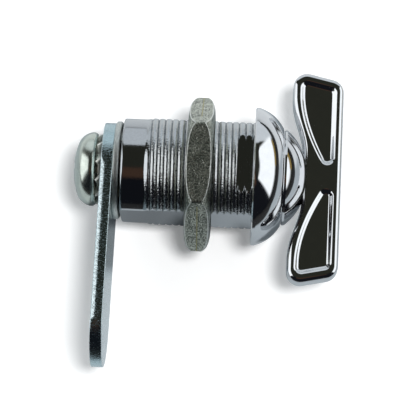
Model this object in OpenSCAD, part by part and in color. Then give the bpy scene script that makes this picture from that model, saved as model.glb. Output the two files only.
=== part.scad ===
// Thumb turn cam lock: a winged knob turns a flat cam behind a panel.
// X runs along the lock towards the knob and Z is up. The origin is the centre of the seat,
// the back face of the head that lies on the panel. At rest the cam points along -Y, latched.

/* [Barrel] */
// Diameter over the thread crests
thread_d = 19; // [18.2:0.1:21]
// Length of the thread behind the seat
thread_l = 18.2; // [14:0.1:20.5]
// Length of the barrel behind the seat
barrel_l = 22.2; // [20:0.1:34]
// Diameter of the plain shank behind the thread
shank_d = 18.1; // [17:0.1:18.6]
// Rounding of the barrel's rear edge
shank_round = 0.7; // [0.2:0.1:1]
// Distance across the two long flats
flats_w = 16; // [15.2:0.1:17]
// Distance across the two short pads next to the head
pads_w = 16.2; // [15.2:0.1:17.5]
// Length of the short pads
pads_l = 2.8; // [2.2:0.1:6]
// Axial length of the thread's lead-in chamfer
thread_lead = 0.4; // [0.2:0.1:0.8]

/* [Head] */
// Diameter of the head
head_d = 23.5; // [22:0.1:28]
// Height of the head in front of the panel
head_h = 4.9; // [4:0.1:7]
// Height of the head's straight rim
head_rim = 0.6; // [0.3:0.1:1.2]
// Bevel around the seat
seat_bevel = 0.2; // [0.1:0.05:0.4]
// Radius of the dome in profile
head_dome_r = 7; // [5:0.5:14]
// Diameter of the head's flat front
head_front_d = 16.6; // [15.4:0.1:18]
// Depth of the recess that takes the knob's boss
recess_depth = 3.4; // [2.4:0.1:3.8]

/* [Knob] */
// Diameter of the boss that turns in the head's recess
boss_d = 13.9; // [12.4:0.1:14.6]
// Diameter of the domed hub in front of the head
hub_d = 16.2; // [14.6:0.1:17.6]
// Height of the hub's straight rim
hub_rim = 0.5; // [0.3:0.1:1]
// Height of the hub's dome over the head's front
hub_h = 4; // [3.4:0.1:4.6]
// Radius of the hub's dome in profile
hub_dome_r = 9.2; // [8.8:0.1:14]
// Span of the wing from end to end
wing_span = 37; // [32:0.5:46]
// Distance of the wing's outer edge from the hub's back face
wing_reach = 9.9; // [8.5:0.05:12]
// Depth of the wing at its ends
wing_end_w = 8.65; // [7.6:0.05:9.2]
// Depth of the wing at its waist
wing_waist_w = 6.55; // [6.2:0.05:7.4]
// Thickness of the wing
wing_t = 4; // [3.4:0.1:5]
// Half length of the straight waist
waist_half_l = 4; // [2:0.1:6]
// Length of the curve from the waist to each end
shoulder_l = 10; // [8:0.1:11]
// Slant of the wing's ends
end_slant = 12.5; // [0:0.5:20]
// Radius of the wing's corners in plan
wing_corner_r = 2.3; // [1.2:0.1:2.6]
// Rounding of the wing's edges
wing_edge_r = 0.9; // [0.4:0.1:1.1]

/* [Finger recesses] */
// Width of the rim left along the wing's long edges
rim_side = 1.05; // [0.9:0.05:1.4]
// Width of the rim left along the wing's ends
rim_end = 1.25; // [0.9:0.05:1.8]
// Distance of each recess's tip from the axis
tip_y = 1.95; // [1:0.05:3]
// Radius of each recess's tip
tip_r = 1.45; // [1.2:0.05:1.8]
// Angle of the recess's long side where it leaves the tip
tip_angle = 29; // [20:1:36]
// Radius of each recess's corners
recess_corner_r = 1.4; // [0.8:0.1:1.6]
// Depth of the finger recesses
finger_depth = 0.6; // [0.3:0.05:1]
// Width of their sloping walls in plan
finger_wall = 1.05; // [0.6:0.05:1.15]
// Share of each wall that rounds over at its top, and at its foot
wall_ease = 0.3; // [0.1:0.05:0.45]

/* [Spindle] */
// Diameter of the spindle
spindle_d = 10; // [9.4:0.1:10.8]
// Distance across the squared tail
tail_w = 8; // [7.4:0.1:8.8]
// How far the tail stops short of the cam's rear face
tail_short = 0.1; // [0.05:0.05:0.4]
// Step from the spindle to its nose
nose_step = 0.5; // [0.3:0.1:0.8]
// Distance across the nose's flats
nose_w = 7.2; // [6.6:0.1:8]
// Length of the nose inside the knob
nose_l = 6; // [4:0.1:6.3]
// Depth of the tapped hole in the tail
tap_depth = 13; // [10:0.5:18]

/* [Seal] */
// Thickness of the ring seal's section
seal_t = 1.1; // [0.9:0.05:1.4]
// Distance of the seal behind the seat
seal_back = 2.2; // [1:0.1:6]
// Side room of the seal in its groove
seal_room = 0.2; // [0.1:0.05:0.4]

/* [Stop washer] */
// Diameter of the stop washer
stop_d = 16.7; // [15.6:0.1:17.4]
// Thickness of the stop washer
stop_t = 1; // [0.6:0.1:1.6]
// Angle that the stop's tab takes up
tab_angle = 30; // [20:1:44]
// Radial width of the tab
tab_w = 0.9; // [0.7:0.1:1.1]
// Length of the tab past the barrel's rear end
tab_in = 1; // [0.6:0.1:2]
// Wall between the spindle's bore and the tab's track
track_wall = 0.85; // [0.6:0.05:1.1]
// Angle that the knob turns between its stops
turn_angle = 90; // [60:5:180]

/* [Cam] */
// Distance from the axis to the cam's tip
cam_l = 34; // [22:0.5:60]
// Width of the cam
cam_w = 16; // [14:0.1:20]
// Thickness of the cam
cam_t = 2; // [1.5:0.1:3.2]

/* [Cam screw] */
// Diameter of the screw
screw_d = 6; // [5:0.1:6.4]
// Length of the screw under its head
screw_l = 12; // [8:0.5:13.5]
// Diameter of the screw's head
screw_head_d = 12.6; // [11.6:0.1:15]
// Height of the screw's head
screw_head_h = 4.05; // [3.6:0.05:5]
// Rounding of the head's rim next to the washer
screw_rim_r = 0.45; // [0.2:0.05:0.8]
// Height of the head's straight side
screw_side_h = 1.5; // [1:0.1:2]
// Radius of the head's rounded side in profile
screw_side_r = 2.6; // [1.6:0.1:5]
// Diameter of the head's crown
screw_crown_d = 9.5; // [8:0.1:10.6]
// Rise of the head's crown
screw_crown_rise = 0.88; // [0.4:0.02:1.2]
// Radius of the crown in profile
screw_crown_r = 13; // [8:0.5:30]
// Width of the cross recess in the screw's head
drive_w = 1.6; // [1:0.1:2]
// Span of the cross recess
drive_span = 6; // [4:0.1:7]
// Depth of the cross recess
drive_depth = 2; // [1:0.1:2.4]

/* [Tooth washer] */
// Number of twisted teeth
tooth_count = 12; // [8:1:14]
// Diameter over the teeth
tooth_d = 12; // [11:0.1:12.4]
// Diameter of the plain ring that carries the teeth
tooth_ring_d = 9; // [8.4:0.1:9.6]
// Thickness of the washer's steel
tooth_t = 0.35; // [0.3:0.05:0.6]
// Width of each tooth
tooth_w = 1.15; // [1:0.05:1.5]
// Twist of the teeth
tooth_twist = 45; // [20:1:50]

/* [Mounting nut] */
// Wall of the nut between its bore and its flats
nut_wall = 2; // [1.6:0.1:4]
// Thickness of the nut
nut_t = 4.4; // [3.4:0.1:6]
// How far the nut's corners stop short of a sharp hexagon's
nut_corner_cut = 0.15; // [0.05:0.05:0.5]
// Width of the nut's flat face around its bore
nut_land = 0.6; // [0.4:0.1:1]
// Gap that the nut leaves for the panel, from the seat
panel_gap = 6.9; // [1:0.1:11]
// Angle at which the nut stands on its thread
nut_turn = 6; // [0:1:59]

/* [Clearances] */
// Radial room of the spindle in the barrel
spindle_room = 0.05; // [0.02:0.01:0.1]
// Radial room of the knob's boss in the head
boss_room = 0.07; // [0.03:0.01:0.1]
// Axial room between the knob and the head
knob_room = 0.12; // [0.05:0.01:0.3]
// Axial play between the barrel and the stop washer
end_play = 0.3; // [0.1:0.05:0.6]
// Room around the stop's tab in its track
tab_room = 0.15; // [0.05:0.05:0.3]
// Angle of room at each end of the tab's track
tab_play = 0.6; // [0.2:0.1:2]
// Room of each square hole on the tail
tail_room = 0.05; // [0.02:0.01:0.15]
// Room of the nose in the knob's socket
nose_room = 0.02; // [0.01:0.01:0.1]
// Radial room of the screw in its hole
screw_room = 0.03; // [0.01:0.01:0.1]
// Radial room of the nut over the thread crests
nut_room = 0.1; // [0.05:0.01:0.2]
// Radial room of the tooth washer around the screw
washer_room = 0.3; // [0.1:0.05:0.5]

/* [Hidden] */
$fn = 96;

// How far each cut runs past what it cuts
past = 0.5;

// Radii that pieces share
thread_r = thread_d / 2;
shank_r = shank_d / 2;
spindle_r = spindle_d / 2;
bore_r = spindle_r + spindle_room;
boss_r = boss_d / 2;
nose_r = spindle_r - nose_step;
screw_r = screw_d / 2;
screw_head_r = screw_head_d / 2;
track_r = bore_r + track_wall;
track_w = tab_w + 2 * tab_room;

// Places along X, from the front of the knob to the screw's head
hub_back = head_h + knob_room;
wing_x = hub_back + wing_reach;
recess_floor = head_h - recess_depth;
boss_back = recess_floor + knob_room;
stop_x = -barrel_l - end_play;
cam_x = stop_x - stop_t;
washer_x = cam_x - cam_t;
washer_h = tooth_w * sin(tooth_twist) + tooth_t * cos(tooth_twist);
screw_x = washer_x - washer_h;
nut_x = -panel_gap - nut_t / 2;

// The stop's tab at rest, as an angle about X from -Z towards +Y
tab_start = 180 - turn_angle / 2;

// Slices of a rounded edge or a sloping wall
edge_steps = 5;
corner_steps = 5;
curve_steps = 10;
least_corner_r = 0.12;

function unit(v) = v / norm(v);
function turned(a, b) = (b - a + 540) % 360 - 180;
function heading(v) = atan2(v[1], v[0]);
function at_angle(r, a) = r * [cos(a), sin(a)];

// Points of an arc of radius r from p to q, whose centre is on the left of that line
function arc_between(p, q, r, n) =
    let (d = q - p)
    let (c = (p + q) / 2 + sqrt(r * r - d * d / 4) * unit([-d[1], d[0]]))
    let (a = heading(p - c))
    let (sweep = turned(a, heading(q - c)))
    [for (i = [0:n]) c + at_angle(r, a + sweep * i / n)];

// Points that round the corner v between the directions a and b, from a's side to b's
function corner_arc(v, a, b, r, n) =
    let (half = acos(a * b) / 2)
    let (c = v + unit(a + b) * r / sin(half))
    let (run = r / tan(half))
    let (from = heading(v + a * run - c))
    let (sweep = turned(from, heading(v + b * run - c)))
    [for (i = [0:n]) c + at_angle(r, from + sweep * i / n)];

// Points of a curve that leaves p towards the control point c and reaches q
function bend(p, c, q, n) =
    [for (i = [1:n - 1]) let (t = i / n) (1 - t) * (1 - t) * p + 2 * t * (1 - t) * c + t * t * q];

function flipped(points) = [for (i = [len(points) - 1:-1:0]) [points[i][0], -points[i][1]]];
function raised(points, z) = [for (p = points) [p[0], p[1], z]];

// Y of the slanted end line at x, moved in by inset, with the rounded corner at half the span
function end_line_y(x, inset) =
    let (corner_x = wing_x - wing_end_w + wing_corner_r)
    let (corner_y = wing_span / 2 - wing_corner_r)
    corner_y - (x - corner_x) * tan(end_slant) + (wing_corner_r - inset) / cos(end_slant);

// Share of the depth at the share t of a wall's width, rounded over at both ends
function wall_fall(t) =
    let (steep = 1 / (1 - wall_ease))
    t < wall_ease ? steep * t * t / (2 * wall_ease)
    : t > 1 - wall_ease ? 1 - steep * (1 - t) * (1 - t) / (2 * wall_ease)
    : steep * (t - wall_ease / 2);

// The wing's outline moved in by inset, counterclockwise from above
function wing_outline(inset) =
    let (outer = wing_x - inset)
    let (inner = wing_x - wing_end_w + inset)
    let (waist = wing_x - wing_waist_w + inset)
    let (slant = [cos(end_slant), -sin(end_slant)])
    let (r = wing_corner_r - inset)
    let (half = concat(
        corner_arc([outer, end_line_y(outer, inset)], [0, -1], -slant, r, corner_steps),
        corner_arc([inner, end_line_y(inner, inset)], slant, [0, -1], r, corner_steps),
        [for (i = [curve_steps:-1:0])
            let (t = i / curve_steps)
            [waist + (inner - waist) * (1 - cos(180 * t)) / 2, waist_half_l + shoulder_l * t]]
    ))
    concat(half, flipped(half));

// One finger recess's outline moved in by inset, counterclockwise from above
function finger_outline(inset) =
    let (outer = wing_x - rim_side - inset)
    let (inner = wing_x - wing_end_w + rim_side + inset)
    let (slant = [cos(end_slant), -sin(end_slant)])
    let (r = max(recess_corner_r - inset, least_corner_r))
    let (tip = [wing_x - rim_side - tip_r, tip_y + tip_r])
    let (leave = tip + at_angle(tip_r - inset, 180 + tip_angle))
    let (meet = [inner, leave[1] + (leave[0] - inner) / tan(tip_angle)])
    let (straight = [inner, waist_half_l + shoulder_l + rim_side])
    concat(
        [for (i = [0:2 * corner_steps])
            tip + at_angle(tip_r - inset, 180 + tip_angle + (180 - tip_angle) * i / (2 * corner_steps))],
        corner_arc([outer, end_line_y(outer, rim_end + inset)], [0, -1], -slant, r, corner_steps),
        corner_arc([inner, end_line_y(inner, rim_end + inset)], slant, [0, -1], r, corner_steps),
        bend(straight, meet, leave, curve_steps)
    );

// A solid through a stack of outlines that have as many points each, capped round a centre
module loft(rings, centre) {
    n = len(rings[0]);
    last = len(rings) - 1;
    points = concat(
        [for (ring = rings) each ring],
        [[centre[0], centre[1], rings[0][0][2]], [centre[0], centre[1], rings[last][0][2]]]
    );
    low = n * (last + 1);
    sides = [for (k = [0:last - 1]) for (j = [0:n - 1])
        let (a = k * n + j)
        let (b = k * n + (j + 1) % n)
        each [[a, a + n, b + n], [a, b + n, b]]];
    caps = [for (j = [0:n - 1])
        let (i = (j + 1) % n)
        each [[low, j, i], [low + 1, last * n + i, last * n + j]]];
    polyhedron(points, concat(sides, caps));
}

// Turns what is drawn up Z to lie along +X or along -X
module along_x() {
    rotate([0, 90, 0]) children();
}
module along_minus_x() {
    rotate([0, -90, 0]) children();
}

// A round bar with flats, as a plan: two flats, or four for a square
module flatted(r, w, sides) {
    intersection() {
        circle(r);
        square([sides == 4 ? w : 2 * r, w], center = true);
    }
}

module square_hole(h) {
    linear_extrude(h) flatted(spindle_r + tail_room, tail_w + 2 * tail_room, 4);
}

module housing_lathe() {
    rear = -barrel_l;
    rear_corner = arc_between([shank_r - shank_round, rear], [shank_r, rear + shank_round], shank_round, 6);
    dome = arc_between([head_d / 2, head_rim], [head_front_d / 2, head_h], head_dome_r, 16);
    rotate_extrude() polygon(concat(
        [[bore_r, rear]],
        rear_corner,
        [[shank_r, -thread_l], [thread_r, -thread_l + thread_lead], [thread_r, 0]],
        [[head_d / 2 - seat_bevel, 0], [head_d / 2, seat_bevel]],
        dome,
        [[boss_r + boss_room, head_h], [boss_r + boss_room, recess_floor], [bore_r, recess_floor]]
    ));
}

// The barrel and head, with flats for the panel, pads by the head and the stop's track
module housing() {
    color("silver") along_x() difference() {
        housing_lathe();
        for (side = [0, 180])
            rotate([0, 0, side]) translate([-thread_d, flats_w / 2, -barrel_l - past])
                cube([2 * thread_d, thread_d, barrel_l + past]);
        for (side = [0, 180])
            rotate([0, 0, side]) translate([pads_w / 2, -thread_d, -pads_l])
                cube([thread_d, 2 * thread_d, pads_l]);
        rotate([0, 0, tab_start - tab_angle / 2 - tab_play])
            rotate_extrude(angle = turn_angle + tab_angle + 2 * tab_play)
                translate([track_r, -barrel_l - past])
                    square([track_w, tab_in + tab_room + past]);
    }
}

module hub_lathe() {
    dome = arc_between([hub_d / 2, hub_back + hub_rim], [0, hub_back + hub_h], hub_dome_r, 20);
    rotate_extrude() polygon(concat(
        [[0, boss_back], [boss_r, boss_back], [boss_r, hub_back], [hub_d / 2, hub_back]],
        dome
    ));
}

module wing() {
    lower = [for (k = [0:edge_steps]) 90 * k / edge_steps - 90];
    upper = [for (k = [0:edge_steps]) 90 * k / edge_steps];
    middle = wing_t / 2 - wing_edge_r;
    rings = concat(
        [for (a = lower) raised(wing_outline(wing_edge_r * (1 - cos(a))), wing_edge_r * sin(a) - middle)],
        [for (a = upper) raised(wing_outline(wing_edge_r * (1 - cos(a))), wing_edge_r * sin(a) + middle)]
    );
    loft(rings, [wing_x - wing_waist_w / 2, 0]);
}

module finger_recess() {
    face = wing_t / 2;
    floor_first = [for (k = [edge_steps:-1:0])
        let (t = k / edge_steps)
        raised(finger_outline(finger_wall * t), face - finger_depth * wall_fall(t))];
    rings = concat(floor_first, [raised(finger_outline(0), face + past)]);
    loft(rings, [wing_x - wing_waist_w / 2, (waist_half_l + wing_span / 2) / 2]);
}

// The knob: a boss and domed hub that carry a waisted wing with a finger recess at each end
module thumb_turn() {
    color("lightgray") difference() {
        union() {
            along_x() hub_lathe();
            wing();
        }
        for (y = [0, 1])
            for (z = [0, 1])
                mirror([0, y, 0]) mirror([0, 0, z]) finger_recess();
        along_x() translate([0, 0, boss_back - past])
            linear_extrude(nose_l + nose_room + past)
                flatted(nose_r + nose_room, nose_w + 2 * nose_room, 2);
    }
}

// The spindle: a nose pressed into the knob, a seal groove, and a tapped square tail
module spindle() {
    tail_end = washer_x + tail_short;
    groove_w = seal_t + seal_room;
    color("goldenrod") along_x() difference() {
        union() {
            translate([0, 0, stop_x]) cylinder(r = spindle_r, h = boss_back - stop_x);
            translate([0, 0, boss_back]) linear_extrude(nose_l) flatted(nose_r, nose_w, 2);
            translate([0, 0, tail_end]) linear_extrude(stop_x - tail_end) flatted(spindle_r, tail_w, 4);
        }
        translate([0, 0, -seal_back - groove_w / 2]) rotate_extrude()
            translate([spindle_r - seal_t, 0]) square([seal_t + past, groove_w]);
        translate([0, 0, tail_end - past]) cylinder(r = screw_r, h = tap_depth + past);
    }
}

module spindle_seal() {
    color("dimgray") along_x() translate([0, 0, -seal_back])
        rotate_extrude() translate([spindle_r - seal_t / 2, 0]) circle(seal_t / 2);
}

// The stop washer, whose tab runs in the barrel's track and ends the turn
module stop_washer() {
    color("darkgray") along_x() {
        difference() {
            translate([0, 0, cam_x]) cylinder(d = stop_d, h = stop_t);
            translate([0, 0, cam_x - past]) square_hole(stop_t + 2 * past);
        }
        rotate([0, 0, tab_start - tab_angle / 2]) rotate_extrude(angle = tab_angle)
            translate([track_r + tab_room, stop_x - stop_t / 2])
                square([tab_w, stop_t / 2 + end_play + tab_in]);
    }
}

// The cam: a flat bar with round ends on the squared tail
module cam() {
    color("lightsteelblue") along_x() translate([0, 0, washer_x]) difference() {
        linear_extrude(cam_t) union() {
            circle(d = cam_w);
            translate([-cam_w / 2, cam_w / 2 - cam_l]) square([cam_w, cam_l - cam_w / 2]);
            translate([0, cam_w / 2 - cam_l]) circle(d = cam_w);
        }
        translate([0, 0, -past]) square_hole(cam_t + 2 * past);
    }
}

// The lock washer under the screw's head, with twisted teeth around a ring
module tooth_washer() {
    ring_in = screw_r + washer_room;
    root = (ring_in + tooth_ring_d / 2) / 2;
    color("slategray") along_x() translate([0, 0, screw_x + washer_h / 2]) union() {
        rotate_extrude() translate([ring_in, -tooth_t / 2]) square([tooth_ring_d / 2 - ring_in, tooth_t]);
        for (i = [0:tooth_count - 1])
            rotate([0, 0, 360 * i / tooth_count]) rotate([-tooth_twist, 0, 0])
                translate([root, -tooth_w / 2, -tooth_t / 2]) cube([tooth_d / 2 - root, tooth_w, tooth_t]);
    }
}

// The pan head screw that holds the cam on the tail
module cam_screw() {
    shoulder = [screw_crown_d / 2, screw_head_h - screw_crown_rise];
    rim = arc_between([screw_head_r - screw_rim_r, 0], [screw_head_r, screw_rim_r], screw_rim_r, 6);
    side = arc_between([screw_head_r, screw_side_h], shoulder, screw_side_r, 8);
    crown = arc_between(shoulder, [0, screw_head_h], screw_crown_r, 8);
    color("gainsboro") translate([screw_x, 0, 0]) along_minus_x() difference() {
        union() {
            translate([0, 0, -screw_l]) cylinder(r = screw_r - screw_room, h = screw_l);
            rotate_extrude() polygon(concat([[0, 0]], rim, side, crown));
        }
        for (a = [0, 90])
            rotate([0, 0, a]) translate([-drive_span / 2, -drive_w / 2, screw_head_h - drive_depth])
                cube([drive_span, drive_w, drive_depth + past]);
    }
}

// The hexagonal nut that clamps the panel, rounded over from face to face
module mounting_nut() {
    nut_bore_r = thread_r + nut_room;
    corner_r = (nut_bore_r + nut_wall) * 2 / sqrt(3);
    face_r = nut_bore_r + nut_land;
    crown_w = corner_r - nut_corner_cut - face_r;
    crown = [for (a = [-90:10:90]) [face_r + crown_w * cos(a), nut_t / 2 * sin(a)]];
    color("darkseagreen") translate([nut_x, 0, 0]) rotate([nut_turn, 0, 0]) along_x() intersection() {
        rotate_extrude() polygon(concat(
            [[nut_bore_r, -nut_t / 2]],
            crown,
            [[nut_bore_r, nut_t / 2]]
        ));
        rotate([0, 0, 30]) translate([0, 0, -nut_t]) cylinder(r = corner_r, h = 2 * nut_t, $fn = 6);
    }
}

housing();
thumb_turn();
spindle();
spindle_seal();
stop_washer();
cam();
tooth_washer();
cam_screw();
mounting_nut();
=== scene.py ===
import math

import bmesh
import bpy
from mathutils import Matrix, Vector


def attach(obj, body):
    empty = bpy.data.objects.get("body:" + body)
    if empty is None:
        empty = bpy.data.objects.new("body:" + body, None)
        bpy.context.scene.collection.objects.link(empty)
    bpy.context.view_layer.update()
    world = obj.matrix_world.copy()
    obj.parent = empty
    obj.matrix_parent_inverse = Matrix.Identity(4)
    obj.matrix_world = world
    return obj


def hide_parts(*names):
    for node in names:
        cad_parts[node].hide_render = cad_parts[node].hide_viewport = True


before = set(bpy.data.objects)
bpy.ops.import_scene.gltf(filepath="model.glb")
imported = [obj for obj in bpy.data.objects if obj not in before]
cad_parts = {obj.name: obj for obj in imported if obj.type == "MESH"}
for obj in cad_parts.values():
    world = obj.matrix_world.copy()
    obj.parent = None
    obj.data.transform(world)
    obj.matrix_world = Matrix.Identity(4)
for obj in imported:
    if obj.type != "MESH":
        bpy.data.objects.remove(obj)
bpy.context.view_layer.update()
scene = bpy.context.scene
mm = 0.001
print("frame loaded:", len(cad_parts), "CAD nodes")


# small helpers for nodes

def addNode(tree, kind, inputs=None, **settings):
    node = tree.nodes.new(kind)
    for key, value in settings.items():
        setattr(node, key, value)
    for key, value in (inputs or {}).items():
        socket = node.inputs[key]
        if isinstance(value, bpy.types.NodeSocket):
            tree.links.new(value, socket)
        else:
            socket.default_value = value
    return node


def calc(tree, operation, *terms):
    return addNode(tree, "ShaderNodeMath", dict(enumerate(terms)), operation=operation).outputs[0]


def ramp(tree, value, stops):
    node = addNode(tree, "ShaderNodeValToRGB", {"Fac": value})
    points = node.color_ramp.elements
    while len(points) < len(stops):
        points.new(0.5)
    for point, (position, tone) in zip(points, stops):
        point.position = position
        shade = tone if isinstance(tone, tuple) else (tone, tone, tone)
        point.color = (*shade, 1)
    return node.outputs["Color"]


def withAlpha(tone):
    return (*tone, 1) if isinstance(tone, tuple) else tone


def mixTones(tree, share, base, tone):
    inputs = {"Factor": share, "A": withAlpha(base), "B": withAlpha(tone)}
    return addNode(tree, "ShaderNodeMix", inputs, data_type="RGBA").outputs["Result"]


def fade(tree, value, start, end):
    inputs = {"Value": value, "From Min": start, "From Max": end}
    return addNode(tree, "ShaderNodeMapRange", inputs, interpolation_type="SMOOTHSTEP").outputs["Result"]


def newMaterial(name, metallic=1.0):
    material = bpy.data.materials.new(name)
    material.use_nodes = True
    shader = material.node_tree.nodes["Principled BSDF"]
    shader.inputs["Metallic"].default_value = metallic
    return material, material.node_tree, shader


def placeOn(tree, stretch=(1, 1, 1)):
    coords = addNode(tree, "ShaderNodeTexCoord").outputs["Object"]
    return addNode(tree, "ShaderNodeMapping", {"Vector": coords, "Scale": stretch}).outputs["Vector"]


def grain(tree, place, perMetre, detail=3.0, rough=0.55):
    inputs = {"Vector": place, "Scale": perMetre, "Detail": detail, "Roughness": rough}
    return addNode(tree, "ShaderNodeTexNoise", inputs).outputs["Fac"]


def bumpFrom(tree, height, distance, strength=1.0):
    inputs = {"Height": height, "Distance": distance, "Strength": strength}
    return addNode(tree, "ShaderNodeBump", inputs).outputs["Normal"]


# finishes

def chromeFinish(name, look):
    material, tree, shader = newMaterial(name)
    place = placeOn(tree)
    haze = grain(tree, place, look["hazePerMetre"], 4)
    low, high = look["roughness"]
    tint = ramp(tree, haze, [(0.3, look["dull"]), (0.7, look["bright"])])
    tree.links.new(tint, shader.inputs["Base Color"])
    tree.links.new(ramp(tree, haze, [(0.25, low), (0.75, high)]), shader.inputs["Roughness"])
    ripple = grain(tree, place, look["ripplePerMetre"], 2)
    tree.links.new(bumpFrom(tree, ripple, look["ripple"]), shader.inputs["Normal"])
    return material


knobLook = {
    "bright": (0.74, 0.75, 0.76), "dull": (0.7, 0.71, 0.73),
    "roughness": (0.05, 0.09), "hazePerMetre": 900, "ripplePerMetre": 260, "ripple": 0.000002,
}
headLook = dict(knobLook, roughness=(0.05, 0.1), ripplePerMetre=320)
knobChrome = chromeFinish("knobChrome", knobLook)
headChrome = chromeFinish("headChrome", headLook)


barrelLook = {
    "crest": (0.53, 0.56, 0.58), "shoulder": (0.56, 0.57, 0.57), "root": (0.52, 0.54, 0.55),
    "plain": (0.53, 0.55, 0.57), "plainDull": (0.4929, 0.5115, 0.5301),
    "roughness": (0.08, 0.28), "plainRoughness": (0.09, 0.09, 0.09),
    "grainPerMetre": 4000, "grain": 0.00006, "plainGrain": 0.1, "wear": 0.25,
}


def barrelFinish(look):
    material, tree, shader = newMaterial("barrelChrome")
    rise = addNode(tree, "ShaderNodeAttribute", attribute_name="threadRise").outputs["Fac"]
    plain = addNode(tree, "ShaderNodeAttribute", attribute_name="plainSkin").outputs["Fac"]
    speck = grain(tree, placeOn(tree), look["grainPerMetre"], 1, 0.4)
    # the tone follows the height on the thread, shifted by noise by the share named wear, and is a little darker in the
    # roots
    toneMask = calc(tree, "ADD", rise, calc(tree, "MULTIPLY", calc(tree, "SUBTRACT", speck, 0.5), look["wear"]))
    low, high = look["roughness"]
    rough = ramp(tree, speck, [(0.3, low), (0.75, high)])
    tint = ramp(tree, toneMask, [
        (0.6, look["root"]), (0.7, look["shoulder"]), (0.9, look["shoulder"]), (0.97, look["crest"])])
    even = ramp(tree, speck, [(0.3, look["plainDull"]), (0.7, look["plain"])])
    tree.links.new(mixTones(tree, plain, tint, even), shader.inputs["Base Color"])
    tree.links.new(mixTones(tree, plain, rough, look["plainRoughness"]), shader.inputs["Roughness"])
    strength = calc(tree, "SUBTRACT", 1.0, calc(tree, "MULTIPLY", plain, 1 - look["plainGrain"]))
    tree.links.new(bumpFrom(tree, speck, look["grain"], strength), shader.inputs["Normal"])
    return material


barrelChrome = barrelFinish(barrelLook)


nutLook = {
    "pale": (0.66, 0.68, 0.59), "dark": (0.15, 0.165, 0.14), "edge": (0.86, 0.87, 0.83),
    "seam": (0.42, 0.39, 0.22), "seamAt": -0.009, "seamHalf": 0.0001, "seamBelow": 0.0098,
    "roughness": (0.2, 0.46), "pitsPerMetre": 4400, "cloudPerMetre": 520, "pits": 0.00012,
}


def nutFinish(look):
    material, tree, shader = newMaterial("nutCast")
    place = placeOn(tree)
    pits = grain(tree, place, look["pitsPerMetre"], 1.5, 0.5)
    cloud = grain(tree, place, look["cloudPerMetre"], 3)
    body = calc(tree, "ADD", calc(tree, "MULTIPLY", pits, 0.8), calc(tree, "MULTIPLY", cloud, 0.2))
    tint = ramp(tree, body, [(0.45, look["dark"]), (0.55, look["pale"])])
    # faint parting line of the casting, off the flat that faces up
    spot = addNode(tree, "ShaderNodeSeparateXYZ", {0: place}).outputs
    off = calc(tree, "ABSOLUTE", calc(tree, "SUBTRACT", spot["X"], look["seamAt"]))
    line = calc(tree, "LESS_THAN", off, calc(tree, "MULTIPLY", pits, 2 * look["seamHalf"]))
    line = calc(tree, "MULTIPLY", line, calc(tree, "LESS_THAN", spot["Z"], look["seamBelow"]))
    toneMask = addNode(tree, "ShaderNodeAttribute", attribute_name="edgeWear").outputs["Fac"]
    tint = mixTones(tree, line, tint, look["seam"])
    tint = mixTones(tree, toneMask, tint, look["edge"])
    low, high = look["roughness"]
    tree.links.new(tint, shader.inputs["Base Color"])
    tree.links.new(ramp(tree, pits, [(0.3, high), (0.7, low)]), shader.inputs["Roughness"])
    tree.links.new(bumpFrom(tree, pits, look["pits"], 0.8), shader.inputs["Normal"])
    return material


nutCast = nutFinish(nutLook)


tornPerMetre = 5000


def steelFinish(name, look):
    material, tree, shader = newMaterial(name, look.get("metallic", 1.0))
    place = placeOn(tree, look["stretch"])
    streak = grain(tree, place, look["streaksPerMetre"], 4, 0.6)
    cloud = grain(tree, placeOn(tree), look["cloudPerMetre"], 3)
    both = calc(tree, "ADD", calc(tree, "MULTIPLY", streak, 0.6), calc(tree, "MULTIPLY", cloud, 0.4))
    low, high = look["roughness"]
    tint = ramp(tree, both, [(0.35, look["dull"]), (0.65, look["bright"])])
    # the plating differs on a sheared side and its rolled edges, which are torn into small rough spots
    cut = addNode(tree, "ShaderNodeAttribute", attribute_name="cutEdge").outputs["Fac"]
    torn = ramp(tree, grain(tree, place, tornPerMetre, 1.5), [(0.46, 0.0), (0.62, 0.5)])
    torn = calc(tree, "MULTIPLY", torn, ramp(tree, cut, [(0.0, 0.0), (0.5, 1.0), (1.0, 0.65)]))
    if "side" in look:
        tint = mixTones(tree, ramp(tree, cut, [(0.0, 0.0), (0.5, 1.0)]), tint, look["roll"])
        tint = mixTones(tree, ramp(tree, cut, [(0.5, 0.0), (1.0, 1.0)]), tint, look["side"])
    tree.links.new(tint, shader.inputs["Base Color"])
    rough = calc(tree, "MAXIMUM", torn, ramp(tree, both, [(0.3, high), (0.7, low)]))
    tree.links.new(rough, shader.inputs["Roughness"])
    relief = calc(tree, "MULTIPLY_ADD", torn, 1.5, streak)
    tree.links.new(bumpFrom(tree, relief, look["streaks"], 0.7), shader.inputs["Normal"])
    return material


camLook = {
    "bright": (0.63, 0.73, 0.76), "dull": (0.5, 0.58, 0.6), "roughness": (0.05, 0.27),
    "stretch": (0.5, 1, 1), "streaksPerMetre": 5200, "cloudPerMetre": 600, "streaks": 0.00003,
    "side": (0.48, 0.62, 0.66), "roll": (0.64, 0.74, 0.76),
}
screwLook = {
    "bright": (0.68, 0.73, 0.66), "dull": (0.56, 0.61, 0.55), "roughness": (0.16, 0.28),
    "stretch": (1, 1, 1), "streaksPerMetre": 900, "cloudPerMetre": 350, "streaks": 0.000006,
}
stopLook = {
    "bright": (0.78, 0.8, 0.75), "dull": (0.5, 0.53, 0.52), "roughness": (0.36, 0.52),
    "stretch": (3, 1, 1), "streaksPerMetre": 1800, "cloudPerMetre": 500, "streaks": 0.00001,
}
washerLook = {
    "bright": (0.95, 0.96, 0.9), "dull": (0.6, 0.62, 0.58), "roughness": (0.22, 0.36), "metallic": 0.3,
    "stretch": (1, 1, 1), "streaksPerMetre": 1500, "cloudPerMetre": 700, "streaks": 0.000006,
}
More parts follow.
